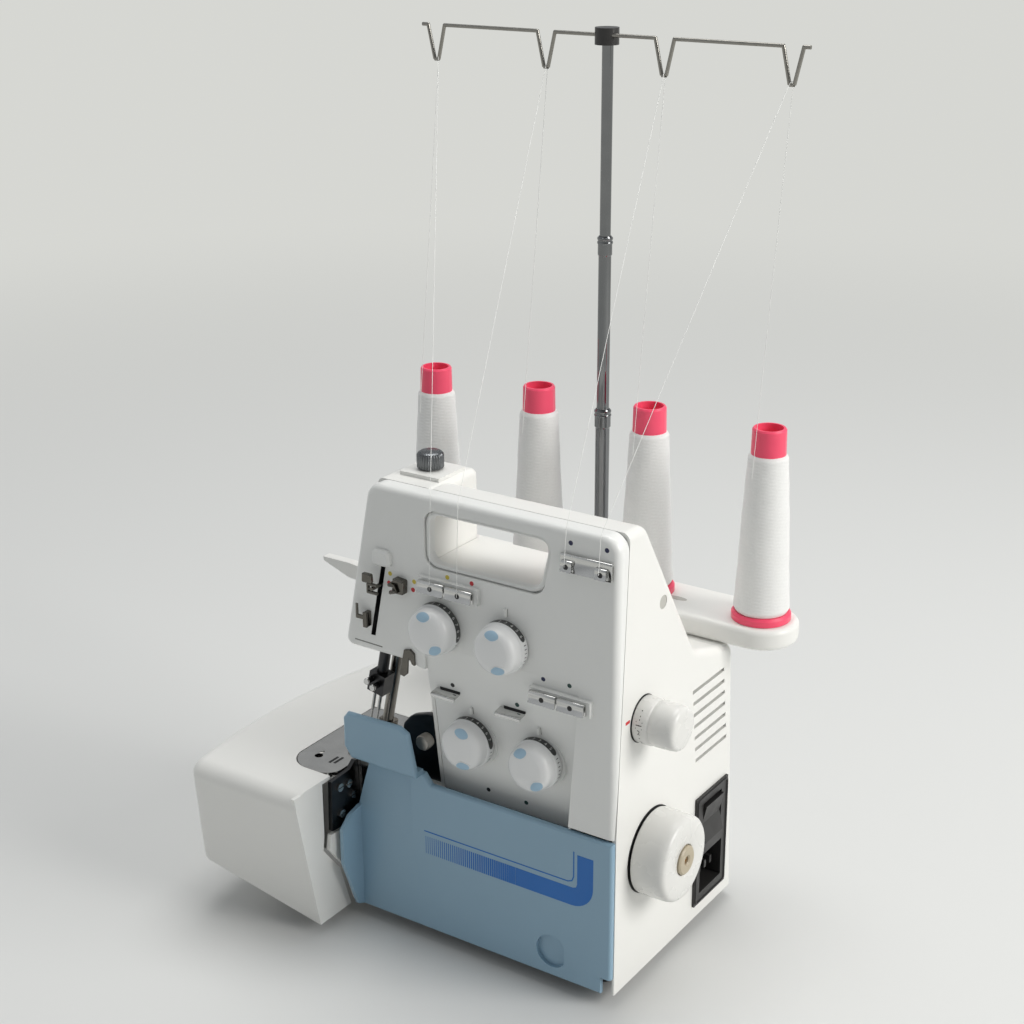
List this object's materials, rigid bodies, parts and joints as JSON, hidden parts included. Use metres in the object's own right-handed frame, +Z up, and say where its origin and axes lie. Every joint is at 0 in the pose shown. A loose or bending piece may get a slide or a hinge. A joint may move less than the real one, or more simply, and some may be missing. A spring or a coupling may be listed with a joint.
{
  "type": "overlock sewing machine",
  "caption": "Domestic overlock sewing machine with carrying handle, tension dials, hinged looper cover, slide-off free-arm table, cone stand and telescopic thread tree.",
  "frame": {"origin": "centre of the bounding box's base, at the level of the table under the feet", "axes": "+X to the operator's right (handwheel side), +Y to the back (thread tree side), +Z up"},
  "size_m": [0.3096, 0.2205, 0.522],
  "materials": {
    "body_white": "warm white moulded plastic, light gloss",
    "panel_white": "cool white moulded plastic, light gloss",
    "cover_blue": "muted steel blue moulded plastic with a printed stripe",
    "dial_white": "white dial with a dark scale band and blue finger patches",
    "knob_white": "white moulded knob",
    "hub_beige": "beige moulded disc",
    "guide_steel": "polished steel",
    "bar_steel": "ground steel",
    "pole_chrome": "bright plated tube",
    "wire_steel": "bent steel wire",
    "plate_steel": "satin steel plate",
    "black_metal": "black coated steel",
    "black_plastic": "black moulded plastic",
    "dark_plastic": "dark ribbed plastic",
    "grey_plastic": "grey plastic",
    "core_pink": "raspberry pink moulded cone",
    "thread_white": "white spun thread",
    "foot_rubber": "black rubber",
    "frame_alloy": "cast light alloy",
    "bush_bronze": "sintered bronze",
    "belt_rubber": "ribbed rubber belt",
    "motor_paint": "dark painted motor can"
  },
  "bodies": {
    "machine": {"rear_housing": "body_white", "front_panel": "panel_white", "head_housing": "body_white", "base_tray": "grey_plastic", "rubber_feet": "foot_rubber", "chassis": "frame_alloy", "shaft_bushes": "bush_bronze", "motor": "motor_paint", "drive_belt": "belt_rubber", "power_inlet": "black_plastic", "screw_plug": "grey_plastic", "tension_posts": "bar_steel", "tension_discs": "guide_steel", "thread_guides": "guide_steel", "thread_hooks": "guide_steel", "head_frame": "frame_alloy", "free_arm": "body_white", "stitch_plate": "plate_steel", "arm_side_cover": "body_white", "knife_bracket": "black_metal", "knife_screws": "guide_steel", "pivot_pins": "bar_steel", "spool_stand": "body_white", "spool_pins": "grey_plastic", "spool_cores": "core_pink", "thread_packs": "thread_white", "thread_windings": "thread_white", "pole_lower": "pole_chrome", "threads": "thread_white"},
    "handwheel": {"main_shaft": "bar_steel", "handwheel": "knob_white", "handwheel_disc": "hub_beige", "shaft_pulley": "dark_plastic"},
    "motor_rotor": {"motor_pulley": "bar_steel"},
    "stitch_dial": {"stitch_dial": "knob_white"},
    "tension_dial_1": {"tension_dial_1": "dial_white"},
    "tension_dial_2": {"tension_dial_2": "dial_white"},
    "tension_dial_3": {"tension_dial_3": "dial_white"},
    "tension_dial_4": {"tension_dial_4": "dial_white"},
    "lifter": {"lifter_lever": "grey_plastic"},
    "presser": {"presser_bar": "bar_steel", "presser_foot": "guide_steel"},
    "regulator": {"pressure_regulator": "dark_plastic"},
    "needle": {"needle_bar": "bar_steel", "needle_clamp": "black_metal", "needles": "guide_steel"},
    "take_up": {"take_up": "guide_steel"},
    "upper_knife": {"upper_knife": "guide_steel"},
    "upper_looper": {"upper_looper": "guide_steel"},
    "lower_looper": {"lower_looper": "guide_steel"},
    "feed_dog": {"feed_dog": "bar_steel"},
    "rocker": {"rocker_switch": "black_plastic"},
    "cover_rod": {"hinge_rod": "bar_steel"},
    "looper_cover": {"looper_cover": "cover_blue"},
    "extension_table": {"extension_table": "body_white"},
    "pole_middle": {"pole_middle": "pole_chrome"},
    "pole_top": {"pole_upper": "pole_chrome", "thread_tree": "wire_steel", "pole_cap": "black_plastic"}
  },
  "joints": [
    {"name": "handwheel_spin", "type": "hinge", "parent": "machine", "child": "handwheel", "pos_m": [0.12125, -0.0185, 0.0845], "axis": [1, 0, 0], "continuous": true},
    {"name": "motor_spin", "type": "hinge", "parent": "machine", "child": "motor_rotor", "pos_m": [0.08625, 0.0445, 0.045], "axis": [1, 0, 0], "continuous": true},
    {"name": "stitch_dial_turn", "type": "hinge", "parent": "machine", "child": "stitch_dial", "pos_m": [0.12125, -0.0305, 0.172], "axis": [1, 0, 0], "range_deg": [-135, 135]},
    {"name": "tension_turn_1", "type": "hinge", "parent": "machine", "child": "tension_dial_1", "pos_m": [0.00595, -0.0605, 0.209], "axis": [0, -1, 0], "range_deg": [-150, 150]},
    {"name": "tension_turn_2", "type": "hinge", "parent": "machine", "child": "tension_dial_2", "pos_m": [0.05075, -0.0605, 0.209], "axis": [0, -1, 0], "range_deg": [-150, 150]},
    {"name": "tension_turn_3", "type": "hinge", "parent": "machine", "child": "tension_dial_3", "pos_m": [0.02365, -0.0605, 0.1406], "axis": [0, -1, 0], "range_deg": [-150, 150]},
    {"name": "tension_turn_4", "type": "hinge", "parent": "machine", "child": "tension_dial_4", "pos_m": [0.06925, -0.0605, 0.1406], "axis": [0, -1, 0], "range_deg": [-150, 150]},
    {"name": "lifter_swing", "type": "hinge", "parent": "machine", "child": "lifter", "pos_m": [-0.05075, -0.0095, 0.203], "axis": [0, 1, 0], "range_deg": [0, 25]},
    {"name": "presser_lift", "type": "slide", "parent": "machine", "child": "presser", "axis": [0.1977, 0, 0.9803], "range_m": [0, 0.006]},
    {"name": "regulator_turn", "type": "hinge", "parent": "machine", "child": "regulator", "pos_m": [-0.02375, -0.0245, 0.285], "axis": [0, 0, 1], "range_deg": [-360, 360]},
    {"name": "needle_stroke", "type": "slide", "parent": "machine", "child": "needle", "axis": [0.1977, 0, 0.9803], "range_m": [-0.022, 0]},
    {"name": "take_up_stroke", "type": "slide", "parent": "machine", "child": "take_up", "axis": [0.1961, 0, 0.9806], "range_m": [-0.027, 0]},
    {"name": "upper_knife_stroke", "type": "slide", "parent": "machine", "child": "upper_knife", "axis": [0, 0, 1], "range_m": [-0.009, 0]},
    {"name": "upper_looper_swing", "type": "hinge", "parent": "machine", "child": "upper_looper", "pos_m": [-0.02875, -0.038, 0.054], "axis": [0, 1, 0], "range_deg": [-8, 8]},
    {"name": "lower_looper_swing", "type": "hinge", "parent": "machine", "child": "lower_looper", "pos_m": [-0.03875, -0.029, 0.04], "axis": [0, 1, 0], "range_deg": [-7, 7]},
    {"name": "feed_stroke", "type": "slide", "parent": "machine", "child": "feed_dog", "axis": [0, 1, 0], "range_m": [-0.002, 0.002]},
    {"name": "rocker_tip", "type": "hinge", "parent": "machine", "child": "rocker", "pos_m": [0.11925, 0.054, 0.0705], "axis": [0, 1, 0], "range_deg": [-6, 6]},
    {"name": "cover_shift", "type": "slide", "parent": "machine", "child": "cover_rod", "axis": [1, 0, 0], "range_m": [0, 0.004], "stiffness_N_per_m": 200},
    {"name": "cover_swing", "type": "hinge", "parent": "cover_rod", "child": "looper_cover", "pos_m": [0.03125, -0.053, 0.0145], "axis": [1, 0, 0], "range_deg": [0, 68]},
    {"name": "table_slide", "type": "slide", "parent": "machine", "child": "extension_table", "axis": [-1, 0, 0], "range_m": [0, 0.12]},
    {"name": "pole_middle_slide", "type": "slide", "parent": "machine", "child": "pole_middle", "axis": [0, 0, 1], "range_m": [-0.085, 0], "deforming": ["threads"]},
    {"name": "pole_upper_slide", "type": "slide", "parent": "pole_middle", "child": "pole_top", "axis": [0, 0, 1], "range_m": [-0.085, 0], "deforming": ["threads"]}
  ],
  "couplings": [
    {"joint": "motor_spin", "follows": "handwheel_spin", "ratio": 2.8571},
    {"joint": "lifter_swing", "follows": "presser_lift", "rad_per_m": 72.7},
    {"joint": "take_up_stroke", "follows": "needle_stroke", "ratio": 1.2},
    {"joint": "pole_upper_slide", "follows": "pole_middle_slide", "ratio": 1}
  ]
}
